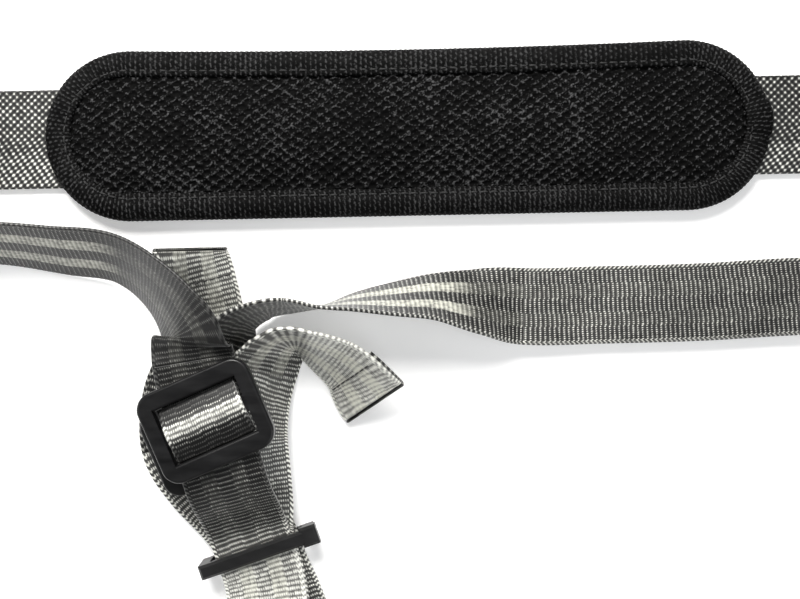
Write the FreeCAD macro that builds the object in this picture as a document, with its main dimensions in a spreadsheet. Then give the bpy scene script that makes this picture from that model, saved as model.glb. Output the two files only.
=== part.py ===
import FreeCAD, Part
import math
import os

import Sketcher

# Padded shoulder strap of an optics harness, lying on a table.
# Units are millimetres, +Z is up, z = 0 is the table top and the origin is under the pad's centre.

doc = FreeCAD.newDocument("harness")
V = FreeCAD.Vector

# ---------------------------------------------------------------- driving dimensions
PARAMS = {
    "pad_half_span": 89.5,          # pad centre to the centre of each round end
    "pad_radius": 27.5,             # radius of the round ends
    "waist_radius": 3300,           # shallow dip of the pad's upper edge
    "binding_width": 8.5,
    "binding_wall": 1.0,
    "edge_bottom": 2.8,             # underside of the binding
    "edge_top": 6.6,
    "back_bottom": 3.8,
    "back_thick": 0.8,
    "cover_edge_thick": 1.0,
    "cover_top": 10.2,
    "cover_wall": 1.2,
    "cover_round": 2.6,
    "foam_gap": 0.1,
    "sleeve_length": 170,
    "sleeve_width": 35,
    "sleeve_wall": 0.8,
    "channel_width": 33,
    "pad_web_width": 32,
    "pad_web_thick": 1.4,
    "pad_web_length": 304,
    "pad_web_bottom": 1.1,
    "join_length": 14,
    "webbing_width": 25.4,
    "webbing_thick": 1.2,
    "thread": 0.6,
    "thread_gap": 0.06,             # keeps a thread row clear of twisted webbing
    "group_x": -63.2,               # where the two adjusters lie, and how far their strap leans
    "group_y": -89.9,
    "group_lean": 20,
    "slider_wide": 36.4,
    "slider_long": 29.2,
    "slider_thick": 3.4,
    "slider_corner": 5.5,
    "slider_window": 27.2,
    "slider_slot": 6.4,
    "slider_bar": 5.0,
    "slider_bar_drop": 1.0,
    "slider_edge": 0.9,
    "slider_skew": 2.5,
    "upper_slider_bottom": 20.9,
    "lower_slider_bottom": 3.1,
    "lower_slider_x": -6.5,
    "lower_slider_y": -5.5,
    "keeper_x": -3.7,
    "keeper_y": -46,
    "keeper_wide": 38,
    "keeper_deep": 4.6,
    "keeper_high": 10,
    "keeper_window": 30.6,
    "keeper_floor": 1.5,
    "keeper_slot": 6.3,
    "keeper_edge": 0.8,
    "ear_deep": 6.4,
    "ear_length": 5.4,
    "ear_thick": 3.2,
    "loop_radius": 5.6,             # middle radius of each lug loop
}

sheet = doc.addObject("Spreadsheet::Sheet", "Params")
for row, (alias, value) in enumerate(PARAMS.items(), start=1):
    sheet.set("A%d" % row, alias)
    sheet.set("B%d" % row, str(value))
    sheet.setAlias("B%d" % row, alias)
doc.recompute()

WIDTH = sheet.webbing_width
THICK = sheet.webbing_thick
GROUP_LEAN = math.radians(sheet.group_lean)
exported = []


def bind(obj, **expressions):
    """Tie properties to the spreadsheet; double underscores stand for dots."""
    for name, expression in expressions.items():
        obj.setExpression(name.replace("__", "."), expression)


def keep(obj, label):
    """Name a finished sub-part and mark it for export."""
    obj.Label = label
    exported.append(obj)
    return obj


# ---------------------------------------------------------------- PartDesign helpers
def new_body(label):
    body = doc.addObject("PartDesign::Body", label + "_body")
    return keep(body, label)


def flat_sketch(body, name, height):
    """Sketch on the body's own XY plane, lifted by an expression."""
    sketch = body.newObject("Sketcher::SketchObject", name)
    plane = [f for f in body.Origin.OriginFeatures if f.Role == "XY_Plane"][0]
    sketch.AttachmentSupport = [(plane, "")]
    sketch.MapMode = "FlatFace"
    bind(sketch, AttachmentOffset__Base__z=height)
    return sketch


def datum(sketch, name, expression, *constraint):
    index = sketch.addConstraint(Sketcher.Constraint(*constraint))
    sketch.renameConstraint(index, name)
    sketch.setExpression("Constraints." + name, expression)


def pad_outline(sketch, inset, expression):
    """Long rounded outline of the pad, drawn `inset` inside its edge."""
    span = sheet.pad_half_span
    radius = sheet.pad_radius - inset
    waist = sheet.waist_radius
    rise = math.sqrt(waist ** 2 - span ** 2)
    swing = math.asin(span / waist)
    up = V(0, 0, 1)
    left = Part.ArcOfCircle(Part.Circle(V(-span, 0, 0), up, radius), math.pi / 2, 1.5 * math.pi)
    right = Part.ArcOfCircle(Part.Circle(V(span, 0, 0), up, radius), -math.pi / 2, math.pi / 2)
    top = Part.ArcOfCircle(Part.Circle(V(0, radius + rise, 0), up, waist),
                           1.5 * math.pi - swing, 1.5 * math.pi + swing)
    bottom = Part.LineSegment(V(-span, -radius, 0), V(span, -radius, 0))
    sketch.addGeometry([left, right, top, bottom], False)
    add = sketch.addConstraint
    add(Sketcher.Constraint("PointOnObject", 0, 3, -1))
    add(Sketcher.Constraint("PointOnObject", 1, 3, -1))
    add(Sketcher.Constraint("Coincident", 0, 1, 2, 1))
    add(Sketcher.Constraint("Coincident", 1, 2, 2, 2))
    add(Sketcher.Constraint("Coincident", 0, 2, 3, 1))
    add(Sketcher.Constraint("Coincident", 1, 1, 3, 2))
    for arc, end in ((0, 1), (0, 2), (1, 1), (1, 2)):
        add(Sketcher.Constraint("Vertical", arc, end, arc, 3))
    datum(sketch, "left_span", "Params.pad_half_span", "DistanceX", 0, 3, -1, 1, span)
    datum(sketch, "right_span", "Params.pad_half_span", "DistanceX", -1, 1, 1, 3, span)
    datum(sketch, "left_radius", "Params.pad_radius - " + expression, "Radius", 0, radius)
    datum(sketch, "right_radius", "Params.pad_radius - " + expression, "Radius", 1, radius)
    datum(sketch, "waist", "Params.waist_radius", "Radius", 2, waist)


def rectangle(sketch, name, x_mid, y_mid, wide, deep, wide_expr, deep_expr, y_expr=None):
    """Axis-aligned rectangle about (x_mid, y_mid), with its sizes bound to the sheet."""
    first = sketch.GeometryCount
    corners = [V(x_mid - wide / 2, y_mid - deep / 2, 0), V(x_mid + wide / 2, y_mid - deep / 2, 0),
               V(x_mid + wide / 2, y_mid + deep / 2, 0), V(x_mid - wide / 2, y_mid + deep / 2, 0)]
    lines = [Part.LineSegment(corners[i], corners[(i + 1) % 4]) for i in range(4)]
    sketch.addGeometry(lines, False)
    add = sketch.addConstraint
    for i in range(4):
        add(Sketcher.Constraint("Coincident", first + i, 2, first + (i + 1) % 4, 1))
    add(Sketcher.Constraint("Horizontal", first))
    add(Sketcher.Constraint("Horizontal", first + 2))
    add(Sketcher.Constraint("Vertical", first + 1))
    add(Sketcher.Constraint("Vertical", first + 3))
    datum(sketch, name + "_wide", wide_expr, "DistanceX", first, 1, first, 2, wide)
    datum(sketch, name + "_deep", deep_expr, "DistanceY", first + 1, 1, first + 1, 2, deep)
    if y_expr is None:
        add(Sketcher.Constraint("Symmetric", first, 1, first + 1, 2, -1, 1))
    else:
        datum(sketch, name + "_left", wide_expr + " / 2", "DistanceX", first, 1, -1, 1, wide / 2 - x_mid)
        datum(sketch, name + "_low", y_expr, "DistanceY", -1, 1, first, 1, y_mid - deep / 2)


def pad_up(body, sketch, name, length):
    pad = body.newObject("PartDesign::Pad", name)
    pad.Profile = sketch
    bind(pad, Length=length)
    doc.recompute()
    return pad


def pocket(body, sketch, name, length, upward=False):
    cut = body.newObject("PartDesign::Pocket", name)
    cut.Profile = sketch
    cut.Reversed = upward
    bind(cut, Length=length)
    doc.recompute()
    return cut


def top_edges(shape, height):
    """Names of the edges lying wholly at one height."""
    names = []
    for number, edge in enumerate(shape.Edges, start=1):
        box = edge.BoundBox
        if abs(box.ZMin - height) < 0.01 and abs(box.ZMax - height) < 0.01:
            names.append("Edge%d" % number)
    return names


def dress(body, kind, name, base, edges, **size):
    feature = body.newObject("PartDesign::" + kind, name)
    feature.Base = (base, edges)
    bind(feature, **size)
    doc.recompute()
    return feature


# ---------------------------------------------------------------- the pad
def make_foam():
    """Foam core, filling the cover from the back panel up."""
    body = new_body("pad_foam")
    inset = sheet.binding_width + sheet.cover_wall + sheet.foam_gap
    sketch = flat_sketch(body, "foam_outline", "Params.back_bottom + Params.back_thick")
    pad_outline(sketch, inset, "Params.binding_width - Params.cover_wall - Params.foam_gap")
    pad = pad_up(body, sketch, "foam_block",
                 "Params.cover_top - Params.cover_wall - Params.foam_gap"
                 " - Params.back_bottom - Params.back_thick")
    top = sheet.cover_top - sheet.cover_wall - sheet.foam_gap
    dress(body, "Fillet", "foam_round", pad, top_edges(pad.Shape, top),
          Radius="Params.cover_round - Params.cover_wall")


def make_cover():
    """Spacer-mesh face: a raised panel with a thin flange that runs into the binding."""
    body = new_body("pad_mesh_cover")
    flange_base = "Params.back_bottom + Params.back_thick"
    flange = flat_sketch(body, "cover_flange", flange_base)
    pad_outline(flange, sheet.binding_wall, "Params.binding_wall")
    pad_up(body, flange, "flange", "Params.cover_edge_thick")
    raised = flat_sketch(body, "cover_panel", flange_base)
    pad_outline(raised, sheet.binding_width, "Params.binding_width")
    panel = pad_up(body, raised, "panel", "Params.cover_top - Params.back_bottom - Params.back_thick")
    rounded = dress(body, "Fillet", "cover_round", panel, top_edges(panel.Shape, sheet.cover_top),
                    Radius="Params.cover_round")
    hollow = flat_sketch(body, "cover_hollow", flange_base)
    inset = sheet.binding_width + sheet.cover_wall
    pad_outline(hollow, inset, "Params.binding_width - Params.cover_wall")
    before = rounded.Shape.Volume
    cut = pocket(body, hollow, "hollow",
                 "Params.cover_top - Params.cover_wall - Params.back_bottom - Params.back_thick", True)
    assert cut.Shape.Volume < before - 1000
    inner_top = sheet.cover_top - sheet.cover_wall
    dress(body, "Fillet", "hollow_round", cut, top_edges(cut.Shape, inner_top),
          Radius="Params.cover_round - Params.cover_wall")


def make_back_panel():
    body = new_body("pad_back_panel")
    sketch = flat_sketch(body, "back_outline", "Params.back_bottom")
    pad_outline(sketch, sheet.binding_wall, "Params.binding_wall")
    pad_up(body, sketch, "back", "Params.back_thick")


def make_binding():
    """Tape folded over the pad's edge: a C-shaped ring around cover and back panel."""
    body = new_body("pad_binding")
    outer = flat_sketch(body, "binding_outline", "Params.edge_bottom")
    pad_outline(outer, 0, "0 * Params.binding_wall")
    pad_up(body, outer, "binding_block", "Params.edge_top - Params.edge_bottom")
    inner = flat_sketch(body, "binding_opening", "Params.edge_bottom")
    pad_outline(inner, sheet.binding_width, "Params.binding_width")
    ring = pocket(body, inner, "opening", "Params.edge_top - Params.edge_bottom", True)
    groove = flat_sketch(body, "binding_groove", "Params.back_bottom")
    pad_outline(groove, sheet.binding_wall, "Params.binding_wall")
    before = ring.Shape.Volume
    cut = pocket(body, groove, "groove",
                 "Params.back_thick + Params.cover_edge_thick", True)
    assert cut.Shape.Volume < before - 1000
    edges = top_edges(cut.Shape, sheet.edge_top)
    outer_edges = [name for name in edges
                   if cut.Shape.getElement(name).BoundBox.YMax > sheet.pad_radius - 2
                   or cut.Shape.getElement(name).BoundBox.YMin < 2 - sheet.pad_radius]
    dress(body, "Fillet", "binding_round", cut, outer_edges, Radius="Params.binding_wall - 0.2")


def make_sleeve():
    """Flat tube sewn under the pad, which the wide webbing runs through."""
    outer = doc.addObject("Part::Box", "sleeve_outer")
    bind(outer, Length="Params.sleeve_length", Width="Params.sleeve_width", Height="Params.back_bottom",
         Placement__Base__x="-Params.sleeve_length / 2", Placement__Base__y="-Params.sleeve_width / 2")
    inner = doc.addObject("Part::Box", "sleeve_channel")
    bind(inner, Length="Params.sleeve_length + 2", Width="Params.channel_width",
         Height="Params.back_bottom",
         Placement__Base__x="-Params.sleeve_length / 2 - 1", Placement__Base__y="-Params.channel_width / 2",
         Placement__Base__z="Params.sleeve_wall")
    cut = doc.addObject("Part::Cut", "sleeve_tube")
    cut.Base = outer
    cut.Tool = inner
    doc.recompute()
    keep(cut, "pad_sleeve")


def make_pad_stitching():
    """Thread ring that holds the binding, standing just proud of it."""
    body = new_body("pad_edge_stitching")
    inset = sheet.binding_width - 2 * sheet.thread
    sketch = flat_sketch(body, "thread_outer", "Params.edge_top")
    pad_outline(sketch, inset - sheet.thread, "Params.binding_width + 3 * Params.thread")
    pad_up(body, sketch, "thread_block", "Params.thread / 2")
    hole = flat_sketch(body, "thread_inner", "Params.edge_top")
    pad_outline(hole, inset, "Params.binding_width + 2 * Params.thread")
    cut = pocket(body, hole, "thread_opening", "Params.thread / 2", True)
    assert cut.Shape.Volume < 400


# ---------------------------------------------------------------- webbing ribbons
def group_point(x, y):
    """World x, y of a point given along and across the adjusters' strap."""
    return (sheet.group_x + x * math.cos(GROUP_LEAN) - y * math.sin(GROUP_LEAN),
            sheet.group_y + x * math.sin(GROUP_LEAN) + y * math.cos(GROUP_LEAN))


def at_group(x, y, lift, lean=0):
    return group_point(x, y) + (lift, lean)


def free_slopes(knots, values):
    """Slopes for a smooth curve through the values (parabola through each three)."""
    steps = [b - a for a, b in zip(knots, knots[1:])]
    rates = [(b - a) / step for a, b, step in zip(values, values[1:], steps)]
    slopes = [rates[0]]
    for i in range(1, len(rates)):
        slopes.append((rates[i - 1] * steps[i] + rates[i] * steps[i - 1]) / (steps[i - 1] + steps[i]))
    return slopes + [rates[-1]]


def steady_slopes(knots, values):
    """Slopes that never overshoot the values (harmonic mean, level at every turn)."""
    rates = [(vb - va) / (kb - ka) for ka, kb, va, vb in zip(knots, knots[1:], values, values[1:])]
    slopes = [0.0]
    for before, after in zip(rates, rates[1:]):
        slopes.append(2 * before * after / (before + after) if before * after > 0 else 0.0)
    return slopes + [0.0]


class Path:
    """Webbing centre line through stations (x, y, lift, lean).

    lift is the height of the webbing's lowest edge and lean, in degrees, raises its
    left-hand edge: 0 lies flat, 90 stands on edge and 180 lies flat the other face up.
    """

    def __init__(self, stations):
        self.knots = [0.0]
        for start, end in zip(stations, stations[1:]):
            self.knots.append(self.knots[-1] + math.dist(start[:3], end[:3]))
        self.values = list(zip(*stations))
        makers = (free_slopes, free_slopes, steady_slopes, steady_slopes)
        self.slopes = [make(self.knots, track) for make, track in zip(makers, self.values)]

    def station(self, at):
        """x, y, lift and lean at a distance along."""
        last = len(self.knots) - 2
        i = min(last, max(0, sum(1 for knot in self.knots if knot <= at) - 1))
        gap = self.knots[i + 1] - self.knots[i]
        u = (at - self.knots[i]) / gap
        rise = u * u * (3 - 2 * u)
        found = []
        for values, slopes in zip(self.values, self.slopes):
            bend = u * (1 - u) * ((1 - u) * slopes[i] - u * slopes[i + 1]) * gap
            found.append(values[i] * (1 - rise) + values[i + 1] * rise + bend)
        return found

    def centre(self, at):
        x, y, lift, lean = self.station(at)
        turn = math.radians(lean)
        return V(x, y, lift + abs(WIDTH / 2 * math.sin(turn)) + abs(THICK / 2 * math.cos(turn)))

    def frame(self, at):
        """Centre, direction ahead, across-webbing direction and face normal."""
        nudge = 0.05
        low, high = max(0.0, at - nudge), min(self.knots[-1], at + nudge)
        ahead = (self.centre(high) - self.centre(low)).normalize()
        left = V(0, 0, 1).cross(ahead).normalize()
        above = ahead.cross(left)
        lean = math.radians(self.station(at)[3])
        across = left * math.cos(lean) + above * math.sin(lean)
        return self.centre(at), ahead, across, above * math.cos(lean) - left * math.sin(lean)

    def solid(self, start, end, width=None, thick=None, offset=0.0, step=2.0):
        """Webbing between two distances, lofted through rectangular sections."""
        width = width or WIDTH
        thick = thick or THICK
        count = max(2, int(math.ceil((end - start) / step)) + 1)
        sections = []
        for i in range(count):
            centre, _, across, normal = self.frame(start + (end - start) * i / (count - 1))
            middle = centre + normal * offset
            corners = [middle + across * (width / 2 * s) + normal * (thick / 2 * t)
                       for s, t in ((-1, -1), (1, -1), (1, 1), (-1, 1))]
            sections.append(Part.makePolygon(corners + corners[:1]))
        return Part.makeLoft(sections, True, True)


def webbing(label, shape):
    feature = doc.addObject("Part::Feature", label)
    feature.Shape = shape
    return keep(feature, label)


ON_PAD_WEB = sheet.pad_web_bottom + sheet.pad_web_thick
JOIN_OUT = sheet.pad_web_length / 2
JOIN_IN = JOIN_OUT - sheet.join_length
LEFT_LOOP_LOW = 3.4
LEFT_LOOP_HIGH = LEFT_LOOP_LOW + 2 * sheet.loop_radius
RIGHT_LOOP_HIGH = 2 * sheet.loop_radius

# The left strap: off the pad webbing, round a turn on its edge, up over the right strap,
# flat through the upper adjuster and down through the keeper to its lug loop.
LEFT_STRAP = Path([
    (-JOIN_IN, 0, ON_PAD_WEB, 0), (-JOIN_OUT - 1, 0, ON_PAD_WEB, 0), (-160, -0.3, 1.6, 18),
    (-169, -1.4, 0.5, 52), (-180, -4, 0.2, 82), (-191, -13, 0.2, 90), (-190, -25, 0.2, 90),
    (-178, -33, 0.2, 82), (-155, -34.2, 0.2, 70), (-129.6, -34.5, 0.2, 62), (-111, -37, 0.6, 57),
    (-92.8, -40, 2.6, 54), (-81.1, -47.3, 6.8, 50), (-72.4, -56.6, 11.8, 42),
    at_group(4.2, 26.4, 16.2, 29), at_group(3.2, 22, 18.4, 7), at_group(2.4, 18.4, 19.4, 0),
    at_group(0, 0, 19.4, 0), at_group(-1.2, -12, 19.4, 0), at_group(-1.8, -19, 19.2, 0),
    at_group(-2.6, -26, 15.8, 0), at_group(-3.4, -33, 9.6, 0), at_group(-4, -39.5, 6.3, 0),
    at_group(-4.3, -46, 6.3, 0), at_group(-4.8, -54, 6.3, 0), at_group(-6.4, -63, 7.9, 0),
    at_group(-8.8, -72, 11.8, 0), at_group(-11.4, -81, LEFT_LOOP_HIGH, 0)])

# The right strap: round a wider turn, flat on the table, half a twist on edge, under the
# left strap, and flat under the lower adjuster to its own lug loop.
RIGHT_STRAP = Path([
    (JOIN_IN, 0, ON_PAD_WEB, 0), (JOIN_OUT + 1, 0, ON_PAD_WEB, 0), (161, -0.6, 1.4, 20),
    (170, -3, 0.5, 54), (182, -12, 0.2, 86), (187, -28, 0.2, 90), (182, -44, 0.2, 84),
    (168, -54, 0.2, 45), (150, -56, 0.2, 15), (126.3, -55.9, 0.2, 10), (94, -57.1, 0.2, 9),
    (61.4, -57.4, 0.2, 9), (36, -57.3, 0.2, 13), (20.2, -55.4, 0.2, 38), (6.5, -53.7, 0.2, 56),
    (-5, -54.1, 0.2, 66), (-17.8, -54.8, 0.2, 78), (-28.8, -56.1, 0.2, 90),
    (-38.6, -55.8, 0.4, 99), (-47, -57, 1.5, 102), (-53.8, -60.2, 1.5, 107),
    at_group(13.8, 22.7, 1.5, 121), at_group(7.4, 21.4, 1.5, 162), at_group(-1, 17, 1.5, 180),
    at_group(-8, 11, 1.5, 180), at_group(-13, 3, 1.5, 180), at_group(-15.6, -5, 1.5, 180),
    at_group(-13, -19, 1.5, 180), at_group(-9.6, -27, 1.6, 180), at_group(-6.9, -33, 2.5, 180),
    at_group(-4.8, -39, 3.2, 180),
    at_group(-3.2, -46, 3.3, 180), at_group(-2.6, -54, 3.3, 180), at_group(-2.5, -63, 1.8, 180),
    at_group(-2.5, -74, 1.5, 180), at_group(-2.5, -88, 2.3, 180), at_group(-2.5, -100, 6.6, 180),
    at_group(-2.5, -112, RIGHT_LOOP_HIGH, 180)])

# Return strands, each from its lug loop back up through the keeper to a loose sewn tail.
LEFT_RETURN = Path([
    at_group(-11.4, -81, LEFT_LOOP_LOW), at_group(-8.8, -72, 3.6), at_group(-6.2, -63, 4.6),
    at_group(-4.5, -54, 4.8), at_group(-3.8, -46, 4.8), at_group(-2.6, -39.5, 4.9),
    at_group(0.4, -32, 5.3, 5), at_group(3.6, -23, 7.3, 12), at_group(7.2, -12, 7.4, 20),
    at_group(12.6, -1.6, 3.8, 31), at_group(19.2, 7.2, 0.5, 38), at_group(23, 10.6, 0.3, 46),
    at_group(26.2, 12.6, 0.2, 57), at_group(29.2, 13.4, 0.2, 66), at_group(32.4, 12.7, 0.2, 69),
    at_group(36, 9.6, 0.2, 64), at_group(41.2, 3.4, 0.3, 52), at_group(45.2, -3.9, 1.2, 43),
    at_group(48.1, -14.5, 1.6, 28)])

RIGHT_RETURN = Path([
    at_group(-2.5, -112, 0), at_group(-2.5, -88, 0), at_group(-2.5, -74, 0),
    at_group(-2.5, -63, 0.3), at_group(-2.8, -54, 1.8), at_group(-2.8, -46, 1.8),
    at_group(-2.6, -39, 1.7), at_group(-2.2, -33, 0.6), at_group(-1.6, -27, 0), at_group(-0.2, -15, 0),
    at_group(1.4, 0, 0), at_group(4.2, 16, 0), at_group(6.4, 29, 0),
    at_group(8.8, 40, 0.8, 20), at_group(12.2, 51, 1.6, 40)])


def make_lug_loop(label, path, low):
    """Half ring of webbing that joins a strap's end to the strand returning below it."""
    end = path.knots[-1]
    centre, ahead, across, _ = path.frame(end)
    ahead.z = 0
    ahead.normalize()
    across.z = 0
    across.normalize()
    radius = sheet.loop_radius
    middle = V(centre.x, centre.y, low + THICK / 2 + radius) + ahead * 0.1
    outer, inner = radius + THICK / 2, radius - THICK / 2
    tops = [middle + V(0, 0, r) for r in (outer, inner)]
    feet = [middle - V(0, 0, r) for r in (outer, inner)]
    profile = Part.Wire([
        Part.Arc(tops[0], middle + ahead * outer, feet[0]).toShape(),
        Part.makeLine(feet[0], feet[1]),
        Part.Arc(feet[1], middle + ahead * inner, tops[1]).toShape(),
        Part.makeLine(tops[1], tops[0])])
    face = Part.Face(profile)
    face.translate(across * (-WIDTH / 2))
    webbing(label, face.extrude(across * WIDTH))


def make_straps():
    left, right = LEFT_STRAP.knots, RIGHT_STRAP.knots
    webbing("left_strap_turn", LEFT_STRAP.solid(0, left[8]))
    webbing("left_strap", LEFT_STRAP.solid(left[8], left[16]))
    webbing("left_strand", LEFT_STRAP.solid(left[16], left[23]))
    webbing("left_loop_top", LEFT_STRAP.solid(left[23], left[-1]))
    webbing("right_strap_turn", RIGHT_STRAP.solid(0, right[8]))
    webbing("right_strap", RIGHT_STRAP.solid(right[8], right[12]))
    webbing("right_strap_twist", RIGHT_STRAP.solid(right[12], right[26], step=2.0))
    webbing("right_strand", RIGHT_STRAP.solid(right[26], right[33]))
    webbing("right_loop_top", RIGHT_STRAP.solid(right[33], right[-1]))
    back, low = LEFT_RETURN.knots, RIGHT_RETURN.knots
    webbing("left_return", LEFT_RETURN.solid(0, back[10]))
    webbing("left_tail", LEFT_RETURN.solid(back[10], back[-1], step=2.0))
    webbing("right_return", RIGHT_RETURN.solid(0, low[10]))
    webbing("right_tail", RIGHT_RETURN.solid(low[10], low[-1]))
    make_lug_loop("left_lug_loop", LEFT_STRAP, LEFT_LOOP_LOW)
    make_lug_loop("right_lug_loop", RIGHT_STRAP, 0)


def make_hem(label, path, length):
    """Folded-back end lying under a tail, and the thread row that holds it."""
    end = path.knots[-1]
    below = -THICK - 0.1
    webbing(label + "_hem", path.solid(end - length, end, offset=below))
    row = end - length + 1.4
    proud = (THICK + sheet.thread) / 2 + sheet.thread_gap
    webbing(label + "_hem_stitching",
            path.solid(row, row + sheet.thread, WIDTH - 3, sheet.thread, proud, 0.3))


def make_pad_webbing():
    box = doc.addObject("Part::Box", "pad_web_box")
    bind(box, Length="Params.pad_web_length", Width="Params.pad_web_width", Height="Params.pad_web_thick",
         Placement__Base__x="-Params.pad_web_length / 2", Placement__Base__y="-Params.pad_web_width / 2",
         Placement__Base__z="Params.pad_web_bottom")
    doc.recompute()
    keep(box, "pad_webbing")


def make_join_stitching(label, side):
    """Box-and-cross of thread through the lap between a strap and the pad webbing."""
    reach = sheet.join_length - 3
    half = WIDTH / 2 - 2.5
    centre_x = side * (JOIN_OUT - sheet.join_length / 2)
    corners = [V(-reach / 2, -half, 0), V(reach / 2, -half, 0), V(reach / 2, half, 0), V(-reach / 2, half, 0)]
    runs = [(0, 1), (1, 2), (2, 3), (3, 0), (0, 2), (1, 3)]
    rows = []
    for start, end in runs:
        first, last = corners[start], corners[end]
        span = last - first
        row = Part.makeBox(span.Length + sheet.thread, sheet.thread, sheet.thread,
                           V(-sheet.thread / 2, -sheet.thread / 2, 0))
        row.Placement = FreeCAD.Placement(first, FreeCAD.Rotation(V(1, 0, 0), span))
        rows.append(row)
    shape = rows[0].multiFuse(rows[1:]).removeSplitter()
    feature = webbing(label, shape)
    on_strap = ON_PAD_WEB + THICK + sheet.thread / 2
    feature.Placement = FreeCAD.Placement(V(centre_x, 0, on_strap), FreeCAD.Rotation())


# ---------------------------------------------------------------- plastic hardware
def place_in_group(obj, x_expr, y_expr, z_expr, skew_expr):
    """Bind an object's placement to a point and heading on the adjusters' strap."""
    lean = "Params.group_lean * 1 deg"
    x, y = "(" + x_expr + ")", "(" + y_expr + ")"
    bind(obj,
         Placement__Base__x="Params.group_x + %s * cos(%s) - %s * sin(%s)" % (x, lean, y, lean),
         Placement__Base__y="Params.group_y + %s * sin(%s) + %s * cos(%s)" % (x, lean, y, lean),
         Placement__Base__z=z_expr,
         Placement__Rotation__Angle="(Params.group_lean + %s) * 1 deg" % skew_expr)
    doc.recompute()


def make_slider(label, x_expr, y_expr, z_expr):
    """Three-bar adjuster; the middle bar sits lower so the strap can pass over it."""
    body = new_body(label)
    plate = flat_sketch(body, label + "_plate", "0 * Params.thread")
    rectangle(plate, "plate", 0, 0, sheet.slider_wide, sheet.slider_long,
              "Params.slider_wide", "Params.slider_long")
    pad = pad_up(body, plate, label + "_block", "Params.slider_thick")
    upright = [name for name in side_edges(pad.Shape)]
    rounded = dress(body, "Fillet", label + "_corners", pad, upright, Radius="Params.slider_corner")
    slots = flat_sketch(body, label + "_slots", "0 * Params.thread")
    middle = (sheet.slider_bar + sheet.slider_slot) / 2
    rectangle(slots, "upper", 0, middle, sheet.slider_window, sheet.slider_slot,
              "Params.slider_window", "Params.slider_slot", "Params.slider_bar / 2")
    rectangle(slots, "lower", 0, -middle, sheet.slider_window, sheet.slider_slot,
              "Params.slider_window", "Params.slider_slot", "-Params.slider_bar / 2 - Params.slider_slot")
    before = rounded.Shape.Volume
    cut = pocket(body, slots, label + "_windows", "Params.slider_thick", True)
    assert cut.Shape.Volume < before - 500
    lower = flat_sketch(body, label + "_bar_top", "Params.slider_thick - Params.slider_bar_drop")
    rectangle(lower, "drop", 0, 0, sheet.slider_window, sheet.slider_bar + 0.2,
              "Params.slider_window", "Params.slider_bar + 0.2")
    dropped = pocket(body, lower, label + "_bar_drop", "Params.slider_bar_drop", True)
    top = top_edges(dropped.Shape, sheet.slider_thick)
    half = sheet.slider_long / 2 - sheet.slider_corner - 0.5
    rim = [name for name in top if abs(dropped.Shape.getElement(name).CenterOfMass.y) > half
           or abs(dropped.Shape.getElement(name).CenterOfMass.x) > sheet.slider_window / 2 + 1]
    dress(body, "Fillet", label + "_rim", dropped, rim, Radius="Params.slider_edge")
    place_in_group(body, x_expr, y_expr, z_expr, "Params.slider_skew")


def side_edges(shape):
    """Names of the straight edges that run up the corners of a plate."""
    names = []
    for number, edge in enumerate(shape.Edges, start=1):
        if edge.BoundBox.ZLength > 1 and edge.BoundBox.XLength < 0.01 and edge.BoundBox.YLength < 0.01:
            names.append("Edge%d" % number)
    return names


def make_wrap(label, slider_label):
    """The bit of strap carried over an adjuster's middle bar and down through both slots."""
    half = WIDTH / 2
    top = sheet.slider_thick - sheet.slider_bar_drop + 0.45
    reach = sheet.slider_bar / 2 + sheet.slider_slot - 1.5
    outer = [V(-half, -reach - 0.5, 0.3), V(-half, -reach + 1.6, 1.9), V(-half, -2.2, top + THICK - 0.25),
             V(-half, 0, top + THICK), V(-half, 2.2, top + THICK - 0.25), V(-half, reach - 1.6, 1.9),
             V(-half, reach + 0.5, 0.3)]
    inner = [V(-half, reach - 0.9, 0.3), V(-half, reach - 2.6, 1.05), V(-half, 1.9, top - 0.2),
             V(-half, 0, top), V(-half, -1.9, top - 0.2), V(-half, 2.6 - reach, 1.05),
             V(-half, 0.9 - reach, 0.3)]
    curves = []
    for points in (outer, inner):
        curve = Part.BSplineCurve()
        curve.interpolate(points)
        curves.append(curve.toShape())
    profile = Part.Wire([curves[0], Part.makeLine(outer[-1], inner[0]), curves[1],
                         Part.makeLine(inner[-1], outer[0])])
    feature = webbing(label, Part.Face(profile).extrude(V(WIDTH, 0, 0)))
    slider = [item for item in exported if item.Label == slider_label][0]
    feature.Placement = slider.Placement


def make_keeper():
    """Upright loop round all four strands, with a flat ear at one end."""
    body = new_body("keeper")
    base = flat_sketch(body, "keeper_plan", "0 * Params.thread")
    rectangle(base, "plan", 0, 0, sheet.keeper_wide, sheet.keeper_deep,
              "Params.keeper_wide", "Params.keeper_deep")
    block = pad_up(body, base, "keeper_block", "Params.keeper_high")
    window = flat_sketch(body, "keeper_window", "Params.keeper_floor")
    rectangle(window, "window", 0, 0, sheet.keeper_window, sheet.keeper_deep + 2,
              "Params.keeper_window", "Params.keeper_deep + 2")
    before = block.Shape.Volume
    cut = pocket(body, window, "keeper_slot", "Params.keeper_slot", True)
    assert cut.Shape.Volume < before - 400
    ear = flat_sketch(body, "keeper_ear", "Params.keeper_high - Params.ear_thick")
    ear_middle = sheet.keeper_wide / 2 - 1.2
    rectangle(ear, "ear", ear_middle, 0, sheet.ear_length, sheet.ear_deep,
              "Params.ear_length", "Params.ear_deep", "-Params.ear_deep / 2")
    ear.setExpression("Constraints.ear_left", "1.2 + Params.ear_length / 2 - Params.keeper_wide / 2")
    eared = pad_up(body, ear, "ear_block", "Params.ear_thick")
    dress(body, "Chamfer", "keeper_rim", eared, top_edges(eared.Shape, sheet.keeper_high),
          Size="Params.keeper_edge")
    place_in_group(body, "Params.keeper_x", "Params.keeper_y", "0 * Params.thread", "-2")


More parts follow.
